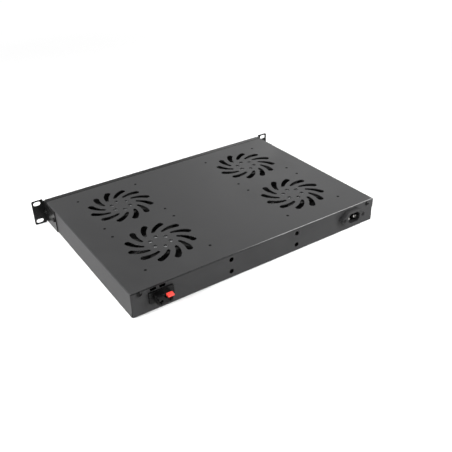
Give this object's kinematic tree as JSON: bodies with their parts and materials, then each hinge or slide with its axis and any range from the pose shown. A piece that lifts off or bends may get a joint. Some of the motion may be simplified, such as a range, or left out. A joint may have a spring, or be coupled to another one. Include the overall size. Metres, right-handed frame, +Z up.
{
  "type": "rack fan tray",
  "caption": "Dark rack-mount fan tray with spiral grilles, mains inlet, lever terminal, switch and thermostat",
  "frame": {"origin": "centre of the four rack slots, on the ears' rear faces that seat on the rack's rails", "axes": "+X across the rack, to the right seen from the front; +Y from the front to the rear; +Z up"},
  "size_m": [0.4826, 0.3405, 0.0436],
  "materials": {
    "case_paint": "satin dark grey powder coat, very fine texture",
    "front_paint": "smooth black paint, slight sheen",
    "black_screw": "black oxide, slight sheen",
    "zinc_screw": "zinc plated",
    "inlet_screw": "dark plated",
    "fan_plastic": "moulded black, faint sheen",
    "label_foil": "bare silver foil label",
    "bearing_steel": "ground steel",
    "core_steel": "laminated core with varnished windings",
    "black_plastic": "moulded black, half gloss",
    "red_plastic": "moulded red, half gloss",
    "inlet_plastic": "moulded dark grey, faint sheen",
    "contact_metal": "nickel plated",
    "module_plastic": "fine moulded texture",
    "window_glass": "clear smoked red pane",
    "key_rubber": "matt",
    "board": "green circuit board",
    "connector_plastic": "green moulded connector"
  },
  "bodies": {
    "case": {"top_cover": "case_paint", "base_pan": "case_paint", "front_panel": "front_paint", "ear_left": "front_paint", "ear_right": "front_paint", "ear_screws_left": "black_screw", "ear_screws_right": "black_screw", "rear_cover_screws": "black_screw", "fan_screws": "black_screw", "inlet_nuts": "zinc_screw", "inlet_screws": "inlet_screw", "fan_frame_1": "fan_plastic", "fan_label_1": "label_foil", "fan_bearings_1": "bearing_steel", "fan_stator_1": "core_steel", "fan_frame_2": "fan_plastic", "fan_label_2": "label_foil", "fan_bearings_2": "bearing_steel", "fan_stator_2": "core_steel", "fan_frame_3": "fan_plastic", "fan_label_3": "label_foil", "fan_bearings_3": "bearing_steel", "fan_stator_3": "core_steel", "fan_frame_4": "fan_plastic", "fan_label_4": "label_foil", "fan_bearings_4": "bearing_steel", "fan_stator_4": "core_steel", "terminal_body": "black_plastic", "switch_body": "black_plastic", "inlet_housing": "inlet_plastic", "terminal_contacts": "contact_metal", "inlet_pins": "contact_metal", "switch_terminals": "contact_metal", "thermostat_body": "module_plastic", "thermostat_back": "module_plastic", "thermostat_clips": "module_plastic", "thermostat_display": "module_plastic", "thermostat_window": "window_glass", "thermostat_board": "board", "thermostat_key_switches": "black_plastic", "thermostat_connector": "connector_plastic"},
    "rotor_1": {"fan_rotor_1": "fan_plastic", "fan_shaft_1": "bearing_steel"},
    "rotor_2": {"fan_rotor_2": "fan_plastic", "fan_shaft_2": "bearing_steel"},
    "rotor_3": {"fan_rotor_3": "fan_plastic", "fan_shaft_3": "bearing_steel"},
    "rotor_4": {"fan_rotor_4": "fan_plastic", "fan_shaft_4": "bearing_steel"},
    "lever_red": {"terminal_lever_red": "red_plastic"},
    "lever_black": {"terminal_lever_black": "black_plastic"},
    "rocker": {"switch_rocker": "black_plastic"},
    "key_1": {"thermostat_key_1": "key_rubber"},
    "key_2": {"thermostat_key_2": "key_rubber"},
    "key_3": {"thermostat_key_3": "key_rubber"}
  },
  "joints": [
    {"name": "fan_spin_1", "type": "hinge", "parent": "case", "child": "rotor_1", "pos_m": [-0.12415, 0.0935, 0], "axis": [0, 0, 1], "continuous": true},
    {"name": "fan_spin_2", "type": "hinge", "parent": "case", "child": "rotor_2", "pos_m": [0.12415, 0.0935, 0], "axis": [0, 0, 1], "continuous": true},
    {"name": "fan_spin_3", "type": "hinge", "parent": "case", "child": "rotor_3", "pos_m": [-0.12415, 0.2268, 0], "axis": [0, 0, 1], "continuous": true},
    {"name": "fan_spin_4", "type": "hinge", "parent": "case", "child": "rotor_4", "pos_m": [0.12415, 0.2268, 0], "axis": [0, 0, 1], "continuous": true},
    {"name": "terminal_lever_red_press", "type": "hinge", "parent": "case", "child": "lever_red", "pos_m": [0.16755, 0.3231, 0.004], "axis": [-1, 0, 0], "range_deg": [0, 12], "stiffness_Nm_per_rad": 0.02},
    {"name": "terminal_lever_black_press", "type": "hinge", "parent": "case", "child": "lever_black", "pos_m": [0.18145, 0.3231, 0.004], "axis": [-1, 0, 0], "range_deg": [0, 12], "stiffness_Nm_per_rad": 0.02},
    {"name": "power_switch_rock", "type": "hinge", "parent": "case", "child": "rocker", "pos_m": [-0.185, 0.0009, 0], "axis": [-1, 0, 0], "range_deg": [0, 22]},
    {"name": "thermostat_key_1_press", "type": "slide", "parent": "case", "child": "key_1", "axis": [0, 1, 0], "range_m": [0, 0.0008], "stiffness_N_per_m": 400},
    {"name": "thermostat_key_2_press", "type": "slide", "parent": "case", "child": "key_2", "axis": [0, 1, 0], "range_m": [0, 0.0008], "stiffness_N_per_m": 400},
    {"name": "thermostat_key_3_press", "type": "slide", "parent": "case", "child": "key_3", "axis": [0, 1, 0], "range_m": [0, 0.0008], "stiffness_N_per_m": 400}
  ]
}
